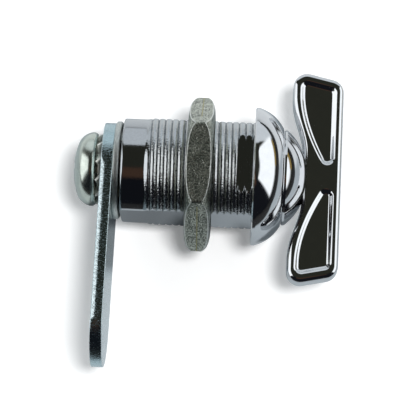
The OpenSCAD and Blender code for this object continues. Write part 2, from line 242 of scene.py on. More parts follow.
brassLook = {
    "bright": (0.76, 0.62, 0.36), "dull": (0.64, 0.5, 0.28), "roughness": (0.2, 0.32),
    "stretch": (6, 1, 1), "streaksPerMetre": 1400, "cloudPerMetre": 500, "streaks": 0.000006,
}
camZinc = steelFinish("camZinc", camLook)
screwZinc = steelFinish("screwZinc", screwLook)
stopSteel = steelFinish("stopSteel", stopLook)
washerSteel = steelFinish("washerSteel", washerLook)
spindleBrass = steelFinish("spindleBrass", brassLook)


rubberLook = {
    "dark": (0.02, 0.02, 0.02), "dusty": (0.045, 0.045, 0.045), "roughness": (0.45, 0.62), "dustPerMetre": 1800,
}


def rubberFinish(look):
    material, tree, shader = newMaterial("sealRubber", 0.0)
    dust = grain(tree, placeOn(tree), look["dustPerMetre"], 3)
    low, high = look["roughness"]
    tree.links.new(ramp(tree, dust, [(0.35, look["dark"]), (0.7, look["dusty"])]), shader.inputs["Base Color"])
    tree.links.new(ramp(tree, dust, [(0.3, low), (0.7, high)]), shader.inputs["Roughness"])
    return material


sealRubber = rubberFinish(rubberLook)
print("finishes ready:", len(bpy.data.materials))


# small helpers for shapes

# narrow flat band beside a rounded edge, which keeps the shading of the face even
flatBand = 0.04


def addRing(bm, points):
    return [bm.verts.new(p) for p in points]


def joinRings(bm, first, second):
    n = len(first)
    faces = []
    for i in range(n):
        j = (i + 1) % n
        faces.append(bm.faces.new((first[i], first[j], second[j], second[i])))
    return faces


def ringStack(bm, rings):
    made = [addRing(bm, ring) for ring in rings]
    for first, second in zip(made, made[1:]):
        joinRings(bm, first, second)
    return made


def levelRing(x, outline):
    return [(x * mm, y * mm, z * mm) for y, z in outline]


def addPrism(bm, outline, x0, x1):
    for ring in ringStack(bm, [levelRing(x, outline) for x in (x0, x1)]):
        bm.faces.new(ring)


def ringEdges(bm, ring):
    return [bm.edges.get((v, ring[(i + 1) % len(ring)])) for i, v in enumerate(ring)]


def fillBetween(bm, *rings):
    edges = [edge for ring in rings for edge in ringEdges(bm, ring)]
    bmesh.ops.triangle_fill(bm, edges=edges, use_beauty=True)


def lathePoints(profile, around):
    turns = [2 * math.pi * i / around for i in range(around)]
    return [[(x * mm, r * math.cos(t) * mm, r * math.sin(t) * mm) for t in turns] for x, r in profile]


def latheShell(profile, around=128):
    bm = bmesh.new()
    inner = profile[1:-1] if profile[0][1] == 0 else profile
    made = ringStack(bm, lathePoints(inner, around))
    if profile[0][1] == 0:
        for ring, (x, _) in ((made[0], profile[0]), (made[-1], profile[-1])):
            pole = bm.verts.new((x * mm, 0, 0))
            for i, v in enumerate(ring):
                bm.faces.new((v, ring[(i + 1) % around], pole))
    else:
        joinRings(bm, made[-1], made[0])
    return bm


def arcAbout(cx, cy, p, q, radius, n):
    start = math.atan2(p[1] - cy, p[0] - cx)
    sweep = (math.atan2(q[1] - cy, q[0] - cx) - start + 3 * math.pi) % (2 * math.pi) - math.pi
    turns = [start + sweep * i / n for i in range(n + 1)]
    return [(cx + radius * math.cos(t), cy + radius * math.sin(t)) for t in turns]


def arcPoints(p, q, radius, n):
    (px, py), (qx, qy) = p, q
    dx, dy = qx - px, qy - py
    length = math.hypot(dx, dy)
    rise = math.sqrt(radius * radius - length * length / 4)
    cx = (px + qx) / 2 - dy / length * rise
    cy = (py + qy) / 2 + dx / length * rise
    return arcAbout(cx, cy, p, q, radius, n)


def cornerArc(v, a, b, radius, n):
    # rounds the corner v between the directions a and b
    v, a, b = Vector(v), Vector(a), Vector(b)
    half = math.acos(a.dot(b)) / 2
    centre = v + (a + b).normalized() * radius / math.sin(half)
    run = radius / math.tan(half)
    return arcAbout(centre.x, centre.y, v + a * run, v + b * run, radius, n)


def finishMesh(mesh, materials, sharpAngle):
    mesh.shade_smooth()
    mesh.set_sharp_from_angle(angle=math.radians(sharpAngle))
    for material in materials[len(mesh.materials):]:
        mesh.materials.append(material)


def newObject(name, bm, materials=(), sharpAngle=35):
    bmesh.ops.recalc_face_normals(bm, faces=bm.faces)
    mesh = bpy.data.meshes.new(name)
    bm.to_mesh(mesh)
    bm.free()
    finishMesh(mesh, materials, sharpAngle)
    piece = bpy.data.objects.new(name, mesh)
    scene.collection.objects.link(piece)
    return piece


def plainMesh(piece):
    shown = piece.evaluated_get(bpy.context.evaluated_depsgraph_get())
    return bpy.data.meshes.new_from_object(shown)


def carve(piece, other, operation, sharpAngle=35):
    step = piece.modifiers.new("carve", "BOOLEAN")
    step.operation = operation
    step.solver = "EXACT"
    step.object = other
    mesh = plainMesh(piece)
    piece.modifiers.clear()
    old = piece.data
    materials = list(old.materials)
    piece.data = mesh
    finishMesh(mesh, materials, sharpAngle)
    mesh.name = piece.name
    bpy.data.meshes.remove(old)
    spare = other.data
    bpy.data.objects.remove(other)
    bpy.data.meshes.remove(spare)
    return piece


def setOn(piece, body, node):
    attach(piece, body)
    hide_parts(node)
    print(piece.name, "has", len(piece.data.polygons), "faces")


# housing: threaded barrel with flats and pads, made by a node tree, and the turned head

housingSizes = {
    "crestRadius": 9.5, "threadDepth": 0.44, "pitch": 1.13, "threadLength": 18.2, "leadIn": 1.0,
    "shankRadius": 9.05, "shankRound": 0.45, "barrelLength": 22.2,
    "flatHalf": 8.0, "padHalf": 8.1, "padLength": 2.8, "seatFillet": 0.12,
}
headSizes = {
    "radius": 11.75, "seatBevel": 0.2, "rim": 0.6, "height": 4.9, "frontRadius": 8.3, "domeRadius": 7.0,
    "recessRadius": 7.02, "recessFloor": 1.5, "recessLip": 0.15, "boreRadius": 5.05,
    "trackInner": 5.9, "trackOuter": 7.1, "trackDepth": 1.15, "trackSlope": 0.01,
    "trackFrom": 119.4, "trackTo": 240.6,
}
# rise over the root in shares of the depth, against shares of the pitch
threadProfile = {
    "flankSlope": 5.41, "shoulderSlope": 1.25, "shoulderTop": 1.125, "flankBlend": 0.1, "crestBlend": 0.06,
}
barrelAround, barrelRows, threadShare = 180, 480, 0.92


def barrelTree(sizes, thread, material):
    tree = bpy.data.node_groups.new("barrelThread", "GeometryNodeTree")
    tree.interface.new_socket("Geometry", in_out="OUTPUT", socket_type="NodeSocketGeometry")
    for key in sizes:
        tree.interface.new_socket(key, in_out="INPUT", socket_type="NodeSocketFloat")
    given = addNode(tree, "NodeGroupInput").outputs
    grid = addNode(tree, "GeometryNodeMeshGrid", {
        "Size X": 1.0, "Size Y": 1.0, "Vertices X": barrelRows, "Vertices Y": barrelAround + 1})
    spot = addNode(tree, "ShaderNodeSeparateXYZ", {
        0: addNode(tree, "GeometryNodeInputPosition").outputs[0]}).outputs
    along = calc(tree, "ADD", spot["X"], 0.5)
    # most of the rows lie along the thread
    onThread = calc(tree, "MULTIPLY", along, calc(tree, "DIVIDE", given["threadLength"], threadShare))
    onShank = calc(tree, "SUBTRACT", given["barrelLength"], given["threadLength"])
    onShank = calc(tree, "DIVIDE", onShank, 1 - threadShare)
    onShank = calc(tree, "MULTIPLY_ADD", calc(tree, "SUBTRACT", along, 1.0), onShank, given["barrelLength"])
    x = calc(tree, "MULTIPLY", calc(tree, "MAXIMUM", onThread, onShank), -1.0)
    share = calc(tree, "ADD", spot["Y"], 0.5)
    turn = calc(tree, "MULTIPLY", share, 2 * math.pi)
    # right-hand helix: the crest moves along +X as it turns from +Y towards +Z
    phase = calc(tree, "SUBTRACT", calc(tree, "DIVIDE", x, given["pitch"]), share)
    # flat crests, sloping shoulders and narrow steep roots, with soft corners
    wave = calc(tree, "PINGPONG", phase, 0.5)
    flank = calc(tree, "MULTIPLY_ADD", wave, -thread["flankSlope"], thread["flankSlope"] / 2)
    shoulder = calc(tree, "MULTIPLY_ADD", wave, -thread["shoulderSlope"], thread["shoulderTop"])
    rise = calc(tree, "SMOOTH_MIN", shoulder, flank, thread["flankBlend"])
    rise = calc(tree, "SMOOTH_MIN", rise, 1.0, thread["crestBlend"])
    root = calc(tree, "SUBTRACT", given["crestRadius"], given["threadDepth"])
    threaded = calc(tree, "MULTIPLY_ADD", rise, given["threadDepth"], root)
    begun = calc(tree, "DIVIDE", calc(tree, "ADD", x, given["threadLength"]), given["leadIn"])
    begin = calc(tree, "SMOOTH_MIN", calc(tree, "MAXIMUM", begun, 0.0), 1.0, 0.2)
    stand = calc(tree, "SUBTRACT", threaded, given["shankRadius"])
    body = calc(tree, "MULTIPLY_ADD", stand, begin, given["shankRadius"])
    # rounded rear corner
    cornerAt = calc(tree, "SUBTRACT", given["shankRound"], given["barrelLength"])
    past = calc(tree, "MAXIMUM", calc(tree, "SUBTRACT", cornerAt, x), 0.0)
    square = calc(tree, "MULTIPLY", given["shankRound"], given["shankRound"])
    inside = calc(tree, "MAXIMUM", calc(tree, "SUBTRACT", square, calc(tree, "MULTIPLY", past, past)), 0.0)
    cut = calc(tree, "SUBTRACT", given["shankRound"], calc(tree, "SQRT", inside))
    rounded = calc(tree, "SUBTRACT", body, cut)
    # flats on both sides, and pads above and below beside the head
    sideways = calc(tree, "MAXIMUM", calc(tree, "ABSOLUTE", calc(tree, "COSINE", turn)), 0.01)
    upwards = calc(tree, "MAXIMUM", calc(tree, "ABSOLUTE", calc(tree, "SINE", turn)), 0.01)
    flat = calc(tree, "MINIMUM", rounded, calc(tree, "DIVIDE", given["flatHalf"], sideways))
    padded = calc(tree, "MINIMUM", flat, calc(tree, "DIVIDE", given["padHalf"], upwards))
    byHead = calc(tree, "GREATER_THAN", x, calc(tree, "MULTIPLY", given["padLength"], -1.0))
    level = calc(tree, "ADD", flat, calc(tree, "MULTIPLY", calc(tree, "SUBTRACT", padded, flat), byHead))
    # small fillet up to the head's seat
    nearSeat = calc(tree, "DIVIDE", calc(tree, "ADD", x, given["seatFillet"]), given["seatFillet"])
    nearSeat = calc(tree, "MAXIMUM", nearSeat, 0.0)
    curve = calc(tree, "SQRT", calc(tree, "SUBTRACT", 1.0, calc(tree, "MULTIPLY", nearSeat, nearSeat)))
    swell = calc(tree, "MULTIPLY", given["seatFillet"], calc(tree, "SUBTRACT", 1.0, curve))
    radius = calc(tree, "ADD", level, swell)
    place = addNode(tree, "ShaderNodeCombineXYZ", {
        0: x,
        1: calc(tree, "MULTIPLY", radius, calc(tree, "COSINE", turn)),
        2: calc(tree, "MULTIPLY", radius, calc(tree, "SINE", turn))}).outputs[0]
    # how far each point stands above the thread's root, for the finish
    reach = calc(tree, "DIVIDE", calc(tree, "SUBTRACT", body, root), given["threadDepth"])
    cutAway = calc(tree, "GREATER_THAN", calc(tree, "SUBTRACT", body, radius), 1e-6)
    smooth = calc(tree, "MAXIMUM", cutAway, calc(tree, "SUBTRACT", 1.0, begin))
    marked = grid.outputs["Mesh"]
    for name, value in (("threadRise", reach), ("plainSkin", smooth)):
        marked = addNode(tree, "GeometryNodeStoreNamedAttribute", {
            "Geometry": marked, "Name": name, "Value": value}, data_type="FLOAT", domain="POINT").outputs[0]
    shaped = addNode(tree, "GeometryNodeSetPosition", {"Geometry": marked, "Position": place})
    closed = addNode(tree, "GeometryNodeMergeByDistance", {
        "Geometry": shaped.outputs[0], "Distance": 1e-7})
    real = addNode(tree, "GeometryNodeRealizeInstances", {"Geometry": closed.outputs[0]})
    coated = addNode(tree, "GeometryNodeSetMaterial", {"Geometry": real.outputs[0], "Material": material})
    addNode(tree, "NodeGroupOutput", {"Geometry": coated.outputs[0]})
    return tree


def setInputs(step, values):
    for socket in step.node_group.interface.items_tree:
        if socket.in_out == "INPUT" and socket.name in values:
            step[socket.identifier] = values[socket.name]


def runTree(name, tree, sizes):
    holder = bpy.data.objects.new(name, bpy.data.meshes.new(name))
    scene.collection.objects.link(holder)
    step = holder.modifiers.new(name, "NODES")
    step.node_group = tree
    setInputs(step, {key: size * mm for key, size in sizes.items()})
    mesh = plainMesh(holder)
    holder.modifiers.clear()
    bpy.data.objects.remove(holder)
    return mesh


def housingPiece():
    s, h = housingSizes, headSizes
    tube = runTree("barrel", barrelTree(s, threadProfile, barrelChrome), s)
    bm = bmesh.new()
    bm.from_mesh(tube)
    bpy.data.meshes.remove(tube)
    rim = [v for v in bm.verts if any(e.is_boundary for e in v.link_edges)]
    rim.sort(key=lambda v: (math.atan2(v.co.z, v.co.y) + 1e-6) % (2 * math.pi))
    middle = -s["barrelLength"] * mm / 2
    front = [v for v in rim if v.co.x > middle]
    rear = [v for v in rim if v.co.x < middle]
    print("barrel ends have", len(front), "and", len(rear), "points")
    # the tree's own slot for the material isn't the first one
    for face in bm.faces:
        face.material_index = 0
    # the head, from the seat over the dome and down the recess into the bore
    dome = [(x, r) for r, x in arcPoints(
        (h["radius"], h["rim"]), (h["frontRadius"], h["height"]), h["domeRadius"], 28)]
    profile = [(0, h["radius"] - h["seatBevel"]), (h["seatBevel"], h["radius"])] + dome + [
        (h["height"], h["recessRadius"] + h["recessLip"]), (h["height"] - h["recessLip"], h["recessRadius"]),
        (h["recessFloor"], h["recessRadius"]), (h["recessFloor"], h["boreRadius"])]
    last = front
    for points in lathePoints(profile, barrelAround):
        ring = addRing(bm, points)
        for face in joinRings(bm, last, ring):
            face.material_index = 1
        last = ring
    # the rear end with the stop's track
    end = -s["barrelLength"]
    slope = h["trackSlope"]
    steps = [
        (h["boreRadius"], 0), (h["trackInner"] - slope, 0), (h["trackInner"] + slope, 1),
        (h["trackOuter"] - slope, 1), (h["trackOuter"] + slope, 0)]
    for radius, deep in steps:
        points = []
        for i in range(barrelAround):
            turn = 2 * math.pi * i / barrelAround
            # the track's angle runs about X from -Z towards +Y
            around = (math.degrees(turn) + 90) % 360
            inTrack = h["trackFrom"] <= around <= h["trackTo"]
            x = end + (h["trackDepth"] if deep and inTrack else 0)
            points.append((x * mm, radius * math.cos(turn) * mm, radius * math.sin(turn) * mm))
        ring = addRing(bm, points)
        for face in joinRings(bm, last, ring):
            face.material_index = 1
        last = ring
    joinRings(bm, last, rear)
    return newObject("chromedHousing", bm, (barrelChrome, headChrome), 32)


setOn(housingPiece(), "barrel", "housing")


# thumb turn: waisted wing with filleted edges and sloping finger recesses on a domed hub

wingSizes = {
    "outerX": 14.92, "endWidth": 8.65, "waistWidth": 6.55, "thickness": 4.0, "span": 36.95,
    "waistHalf": 4.0, "shoulder": 10.0, "endSlant": 12.5, "cornerRadius": 2.3, "edgeRadius": 0.9,
    "rimSide": 1.05, "rimEnd": 1.25, "tipY": 1.95, "tipRadius": 1.45, "tipAngle": 29.0,
    "recessCorner": 1.4, "leastCorner": 0.12, "recessDepth": 0.6, "recessWall": 1.05, "wallEase": 0.42,
    "rimBand": 0.05,
}
hubSizes = {
    "back": 5.02, "radius": 8.1, "rim": 0.5, "height": 4.0, "domeRadius": 9.2,
    "bossRadius": 6.95, "bossBack": 1.62, "noseRadius": 4.52, "noseHalf": 3.62, "noseDepth": 6.02,
    "bossBevel": 0.1, "rimBevel": 0.15,
}


def endLineY(w, x, inset):
    cornerX = w["outerX"] - w["endWidth"] + w["cornerRadius"]
    cornerY = w["span"] / 2 - w["cornerRadius"]
    slant = math.radians(w["endSlant"])
    return cornerY - (x - cornerX) * math.tan(slant) + (w["cornerRadius"] - inset) / math.cos(slant)


def wingOutline(w, inset, corner=9, curve=30):
    outer = w["outerX"] - inset
    inner = w["outerX"] - w["endWidth"] + inset
    waist = w["outerX"] - w["waistWidth"] + inset
    slant = math.radians(w["endSlant"])
    along = (math.cos(slant), -math.sin(slant))
    back = (-along[0], -along[1])
    radius = w["cornerRadius"] - inset
    half = cornerArc((outer, endLineY(w, outer, inset)), (0, -1), back, radius, corner)
    half += cornerArc((inner, endLineY(w, inner, inset)), along, (0, -1), radius, corner)
    for i in range(curve, -1, -1):
        t = i / curve
        swing = (1 - math.cos(math.pi * t)) / 2
        half.append((waist + (inner - waist) * swing, w["waistHalf"] + w["shoulder"] * t))
    return half + [(x, -y) for x, y in reversed(half)]


def fingerOutline(w, inset, corner=9, curve=24):
    outer = w["outerX"] - w["rimSide"] - inset
    inner = w["outerX"] - w["endWidth"] + w["rimSide"] + inset
    slant = math.radians(w["endSlant"])
    along = (math.cos(slant), -math.sin(slant))
    back = (-along[0], -along[1])
    radius = max(w["recessCorner"] - inset, w["leastCorner"])
    tip = (w["outerX"] - w["rimSide"] - w["tipRadius"], w["tipY"] + w["tipRadius"])
    tipRadius = w["tipRadius"] - inset
    angle = math.radians(w["tipAngle"])
    leave = (tip[0] - tipRadius * math.cos(angle), tip[1] - tipRadius * math.sin(angle))
    meet = (inner, leave[1] + (leave[0] - inner) / math.tan(angle))
    straight = (inner, w["waistHalf"] + w["shoulder"] + w["rimSide"])
    points = []
    for i in range(2 * corner + 1):
        t = math.pi + angle + (math.pi - angle) * i / (2 * corner)
        points.append((tip[0] + tipRadius * math.cos(t), tip[1] + tipRadius * math.sin(t)))
    rim = w["rimEnd"] + inset
    points += cornerArc((outer, endLineY(w, outer, rim)), (0, -1), back, radius, corner)
    points += cornerArc((inner, endLineY(w, inner, rim)), along, (0, -1), radius, corner)
    for i in range(1, curve):
        t = i / curve
        a, b, c = (1 - t) * (1 - t), 2 * t * (1 - t), t * t
        points.append(tuple(a * straight[k] + b * meet[k] + c * leave[k] for k in (0, 1)))
    return points


def easedSlope(t, ease):
    steep = 1 / (1 - ease)
    if t < ease:
        return steep * t * t / (2 * ease)
    if t > 1 - ease:
        return 1 - steep * (1 - t) * (1 - t) / (2 * ease)
    return steep * (t - ease / 2)


def lifted(points, z, flipY=False):
    return [(x * mm, (-y if flipY else y) * mm, z * mm) for x, y in points]


def wingShell(w):
    bm = bmesh.new()
    edge, half = w["edgeRadius"], w["thickness"] / 2
    turns = [math.pi / 2 * i / 10 for i in range(11)]
    upper = [(edge * (1 - math.cos(t)), half - edge + edge * math.sin(t)) for t in turns]
    upper.append((edge + w["rimBand"], half))
    stack = [(inset, -z) for inset, z in reversed(upper)] + upper
    made = ringStack(bm, [lifted(wingOutline(w, inset), z) for inset, z in stack])
    for ring, side in ((made[0], -1), (made[-1], 1)):
        mouths = []
        for flipY in (False, True):
            rings = [lifted(fingerOutline(w, -w["rimBand"]), side * half, flipY)]
            for i in range(13):
                t = i / 12
                z = half - w["recessDepth"] * easedSlope(t, w["wallEase"])
                rings.append(lifted(fingerOutline(w, w["recessWall"] * t), side * z, flipY))
            floor = half - w["recessDepth"]
            rings.append(lifted(fingerOutline(w, w["recessWall"] + flatBand), side * floor, flipY))
            wall = ringStack(bm, rings)
            mouths.append(wall[0])
            fillBetween(bm, wall[-1])
        fillBetween(bm, ring, *mouths)
    return bm


def flattedOutline(radius, half, sides, n=96):
    points = []
    for i in range(n):
        t = 2 * math.pi * (i + 0.5) / n
        r = min(radius, half / max(abs(math.sin(t)), 1e-3))
        if sides == 4:
            r = min(r, half / max(abs(math.cos(t)), 1e-3))
        points.append((r * math.cos(t), r * math.sin(t)))
    return points


def thumbTurnPiece():
    h = hubSizes
    front = h["back"] + h["height"]
    dome = [(x, r) for r, x in arcPoints((h["radius"], h["back"] + h["rim"]), (0, front), h["domeRadius"], 40)]
    profile = [
        (h["bossBack"], 0), (h["bossBack"], h["bossRadius"] - h["bossBevel"]),
        (h["bossBack"] + h["bossBevel"], h["bossRadius"]), (h["back"], h["bossRadius"]),
        (h["back"], h["radius"] - h["rimBevel"]), (h["back"] + h["rimBevel"], h["radius"])] + dome
    piece = newObject("thumbTurn", wingShell(wingSizes), (knobChrome,))
    carve(piece, newObject("hub", latheShell(profile, 192), (knobChrome,)), "UNION", 32)
    socket = bmesh.new()
    nose = flattedOutline(h["noseRadius"], h["noseHalf"], 2)
    addPrism(socket, nose, h["bossBack"] - 1, h["bossBack"] + h["noseDepth"])
    return carve(piece, newObject("socket", socket), "DIFFERENCE", 32)


setOn(thumbTurnPiece(), "turning", "thumb_turn")


# plates: the cam and the stop washer, with rolled edges

camSizes = {
    "front": -23.5, "back": -25.5, "width": 16.0, "length": 33.99,
    "rollFront": (0.12, 0.12), "rollBack": (0.36, 0.72), "rollEnd": -27.2, "endRoll": 0.2,
}
stopSizes = {
    "front": -22.5, "back": -23.5, "radius": 8.35, "rollFront": (0.3, 0.3), "rollBack": (0.15, 0.15),
    "tabInner": 6.05, "tabOuter": 6.95, "tabFrom": 120.0, "tabTo": 150.0, "tabReach": 1.3,
    "tabSunk": 0.5,
}
squareHole = {"radius": 5.05, "half": 4.05}


def rolled(t, bulge=0.12):
    # from (0, 1) to (1, 0), a straight slope that bulges outwards a little
    swell = bulge * math.sin(math.pi * t)
    return t - swell, 1 - t - swell


def plateShell(outlineAt, holeOutline, front, back, rollFront, rollBack, steps=8, rollShares=None):
    bm = bmesh.new()
    edge = outlineAt(0)
    rollShares = rollShares or [1.0] * len(edge)
    # each rolled edge is given as its width on the face and its length on the side
    shares = [rolled(i / steps) for i in range(steps + 1)]
    first = [(rollFront[0] * b, front - rollFront[1] * a) for a, b in shares]
    second = [(rollBack[0] * a, back + rollBack[1] * b) for a, b in shares]
    rings = [levelRing(x, outlineAt(inset)) for inset, x in [(rollFront[0] + flatBand, front)] + first]
    for inset, x in second + [(rollBack[0] + flatBand, back)]:
        ring = []
        for (y0, z0), (y, z), share in zip(edge, outlineAt(inset), rollShares):
            ring.append(((back + (x - back) * share) * mm, (y0 + (y - y0) * share) * mm, (z0 + (z - z0) * share) * mm))
        rings.append(ring)
    cut = bm.verts.layers.float.new("cutEdge")
    made = ringStack(bm, rings)
    for k, ring in enumerate(made[1:-1], 1):
        for v in ring:
            v[cut] = 1.0 if k in (steps + 1, steps + 2) else 0.5
    hole = ringStack(bm, [levelRing(x, holeOutline) for x in (front, back)])
    fillBetween(bm, made[0], hole[0])
    fillBetween(bm, made[-1], hole[1])
    return bm


def camOutline(inset, arc=48, straight=24):
    half = camSizes["width"] / 2
    tip = half - camSizes["length"]
    radius = half - inset
    points = []
    for i in range(arc + 1):
        t = math.pi * i / arc - math.pi / 2
        points.append((radius * math.cos(t), radius * math.sin(t)))
    points += [(tip * i / straight, radius) for i in range(1, straight)]
    for i in range(arc + 1):
        t = math.pi * i / arc + math.pi / 2
        points.append((tip + radius * math.cos(t), radius * math.sin(t)))
    points += [(tip - tip * i / straight, -radius) for i in range(1, straight)]
    return points


def roundOutline(radius, n=160):
    return [(radius * math.cos(2 * math.pi * i / n), radius * math.sin(2 * math.pi * i / n)) for i in range(n)]


def camPiece():
    c = camSizes
    hole = flattedOutline(squareHole["radius"], squareHole["half"], 4)
    # the strip is rolled along its straight sides, and its ends are cut square
    shares = [1.0 if c["rollEnd"] < y < 0 else c["endRoll"] for y, z in camOutline(0)]
    shell = plateShell(camOutline, hole, c["front"], c["back"], c["rollFront"], c["rollBack"], rollShares=shares)
    return newObject("camArm", shell, (camZinc,))


def stopPiece():
    s = stopSizes
    hole = flattedOutline(squareHole["radius"], squareHole["half"], 4)
    shell = plateShell(lambda inset: roundOutline(s["radius"] - inset), hole,
        s["front"], s["back"], s["rollFront"], s["rollBack"], 5)
    # the tab that runs in the barrel's track
    outline = []
    for radius, way in ((s["tabInner"], 1), (s["tabOuter"], -1)):
        for i in range(13)[::way]:
            turn = math.radians(s["tabFrom"] + (s["tabTo"] - s["tabFrom"]) * i / 12 - 90)
            outline.append((radius * math.cos(turn), radius * math.sin(turn)))
    addPrism(shell, outline, s["front"] - s["tabSunk"], s["front"] + s["tabReach"])
    return newObject("stopWasher", shell, (stopSteel,))


setOn(camPiece(), "turning", "cam")
setOn(stopPiece(), "turning", "stop_washer")


# tooth washer: twisted teeth set round a ring by a node tree

toothSizes = {
    "ringInner": 3.3, "ringOuter": 4.5, "steel": 0.35, "over": 12.2, "toothWidth": 1.15, "twist": -45.0,
    "middle": -26.03, "count": 12, "edgeRound": 0.07,
}


def toothTree(tooth, material):
    tree = bpy.data.node_groups.new("toothRing", "GeometryNodeTree")
    tree.interface.new_socket("Geometry", in_out="INPUT", socket_type="NodeSocketGeometry")
    tree.interface.new_socket("Geometry", in_out="OUTPUT", socket_type="NodeSocketGeometry")
    tree.interface.new_socket("count", in_out="INPUT", socket_type="NodeSocketInt")
    tree.interface.new_socket("middle", in_out="INPUT", socket_type="NodeSocketFloat")
    given = addNode(tree, "NodeGroupInput").outputs
    turn = calc(tree, "DIVIDE", 2 * math.pi, given["count"])
    index = addNode(tree, "GeometryNodeInputIndex").outputs[0]
    angle = addNode(tree, "ShaderNodeCombineXYZ", {0: calc(tree, "MULTIPLY", index, turn)}).outputs[0]
    spots = addNode(tree, "GeometryNodeMeshLine", {"Count": given["count"], "Offset": (0, 0, 0)})
    shape = addNode(tree, "GeometryNodeObjectInfo", {"Object": tooth})
    teeth = addNode(tree, "GeometryNodeInstanceOnPoints", {
        "Points": spots.outputs[0], "Instance": shape.outputs["Geometry"], "Rotation": angle})
    both = addNode(tree, "GeometryNodeJoinGeometry")
    tree.links.new(given["Geometry"], both.inputs[0])
    tree.links.new(teeth.outputs[0], both.inputs[0])
    shift = addNode(tree, "ShaderNodeCombineXYZ", {0: given["middle"]}).outputs[0]
    moved = addNode(tree, "GeometryNodeTransform", {"Geometry": both.outputs[0], "Translation": shift})
    real = addNode(tree, "GeometryNodeRealizeInstances", {"Geometry": moved.outputs[0]})
    coated = addNode(tree, "GeometryNodeSetMaterial", {"Geometry": real.outputs[0], "Material": material})
    addNode(tree, "NodeGroupOutput", {"Geometry": coated.outputs[0]})
    return tree


def toothShape(t):
    bm = bmesh.new()
    root = (t["ringInner"] + t["ringOuter"]) / 2
    long, wide, thick = t["over"] / 2 - root, t["toothWidth"], t["steel"]
    bmesh.ops.create_cube(bm, size=1)
    bmesh.ops.scale(bm, vec=(thick * mm, wide * mm, long * mm), verts=bm.verts)
    bmesh.ops.bevel(bm, geom=list(bm.edges), offset=t["edgeRound"] * mm, segments=2, profile=0.5, affect="EDGES")
    twist = Matrix.Rotation(math.radians(t["twist"]), 3, "Z")
    bmesh.ops.rotate(bm, cent=(0, 0, 0), matrix=twist, verts=bm.verts)
    bmesh.ops.translate(bm, vec=(0, 0, (root + long / 2) * mm), verts=bm.verts)
    return bm


def toothWasherPiece():
    t = toothSizes
    half = t["steel"] / 2
    profile = [(-half, t["ringInner"]), (half, t["ringInner"]), (half, t["ringOuter"]), (-half, t["ringOuter"])]
    piece = newObject("toothWasher", latheShell(profile, 96), (washerSteel,))
    tooth = newObject("tooth", toothShape(t), (washerSteel,))
    step = piece.modifiers.new("teeth", "NODES")
    step.node_group = toothTree(tooth, washerSteel)
    setInputs(step, {"count": t["count"], "middle": t["middle"] * mm})
    mesh = plainMesh(piece)
    piece.modifiers.clear()
    piece.data = mesh
    finishMesh(mesh, (washerSteel,), 35)
    bpy.data.objects.remove(tooth)
    return piece


setOn(toothWasherPiece(), "turning", "tooth_washer")


# cam screw: pan head with a cross drive

screwSizes = {
    "seat": -26.56, "headRadius": 6.3, "headHeight": 4.04, "sideHeight": 1.0, "sideRadius": 3.0,
    "crownRadius": 4.75, "crownRise": 0.88, "crownCurve": 13.0, "shankRadius": 2.97, "shankLength": 12.0,
    "shankBevel": 0.4, "rimRound": 0.8, "driveWidth": 1.6, "driveSpan": 6.0, "driveDepth": 2.0,
    "drivePast": 0.5, "floorSpan": 0.62, "floorWidth": 0.7,
}


def screwPiece():
    s = screwSizes
    shoulder = (s["crownRadius"], s["headHeight"] - s["crownRise"])
    side = arcPoints((s["headRadius"], s["sideHeight"]), shoulder, s["sideRadius"], 14)
    crown = arcPoints(shoulder, (0, s["headHeight"]), s["crownCurve"], 16)
    rim = arcPoints((s["headRadius"] - s["rimRound"], 0), (s["headRadius"], s["rimRound"]), s["rimRound"], 8)
    head = rim + side + crown[1:]
    end = s["seat"] + s["shankLength"]
    profile = [(end, 0), (end, s["shankRadius"] - s["shankBevel"]),
        (end - s["shankBevel"], s["shankRadius"]), (s["seat"], s["shankRadius"])]
    profile += [(s["seat"] - rise, radius) for radius, rise in head]
    piece = newObject("camScrew", latheShell(profile, 128), (screwZinc,), 30)
    for turn in (0, 90):
        bm = bmesh.new()
        bmesh.ops.create_cube(bm, size=1)
        deep = s["driveDepth"] + s["drivePast"]
        bmesh.ops.scale(bm, vec=(deep * mm, s["driveSpan"] * mm, s["driveWidth"] * mm), verts=bm.verts)
        # the slots narrow and shorten towards their floor
        for v in bm.verts:
            if v.co.x > 0:
                v.co.y *= s["floorSpan"]
                v.co.z *= s["floorWidth"]
        bmesh.ops.rotate(bm, cent=(0, 0, 0), matrix=Matrix.Rotation(math.radians(turn), 3, "X"), verts=bm.verts)
        middle = s["seat"] - s["headHeight"] + s["driveDepth"] - deep / 2
        bmesh.ops.translate(bm, vec=(middle * mm, 0, 0), verts=bm.verts)
        carve(piece, newObject("drive", bm, (screwZinc,)), "DIFFERENCE", 30)
    return piece


setOn(screwPiece(), "turning", "cam_screw")


# mounting nut: cast hexagon with crowned faces and soft corners

nutSizes = {
    "middle": -9.1, "thickness": 4.4, "acrossFlats": 23.2, "boreRadius": 9.6, "land": 0.6, "crownPast": 0.05,
    "crownPower": 2.15, "cornerRound": 0.6, "edgeRound": 0.1, "boreBevel": 0.25, "sideBand": 0.03, "turn": 6.0,
}


def hexOutline(half, cornerRound, flat=28, corner=8):
    reach = half * 2 / math.sqrt(3)
    turns = [math.radians(60 * k) for k in range(6)]
    tips = [Vector((reach * math.cos(t), reach * math.sin(t))) for t in turns]
    arcs = []
    for k, tip in enumerate(tips):
        before, after = (tips[k - 1] - tip).normalized(), (tips[(k + 1) % 6] - tip).normalized()
        arcs.append(cornerArc(tip, before, after, cornerRound, corner))
    points = []
    for arc, nextArc in zip(arcs, arcs[1:] + arcs[:1]):
        a, b = Vector(arc[-1]), Vector(nextArc[0])
        points += arc + [tuple(a.lerp(b, i / flat)) for i in range(1, flat)]
    return points


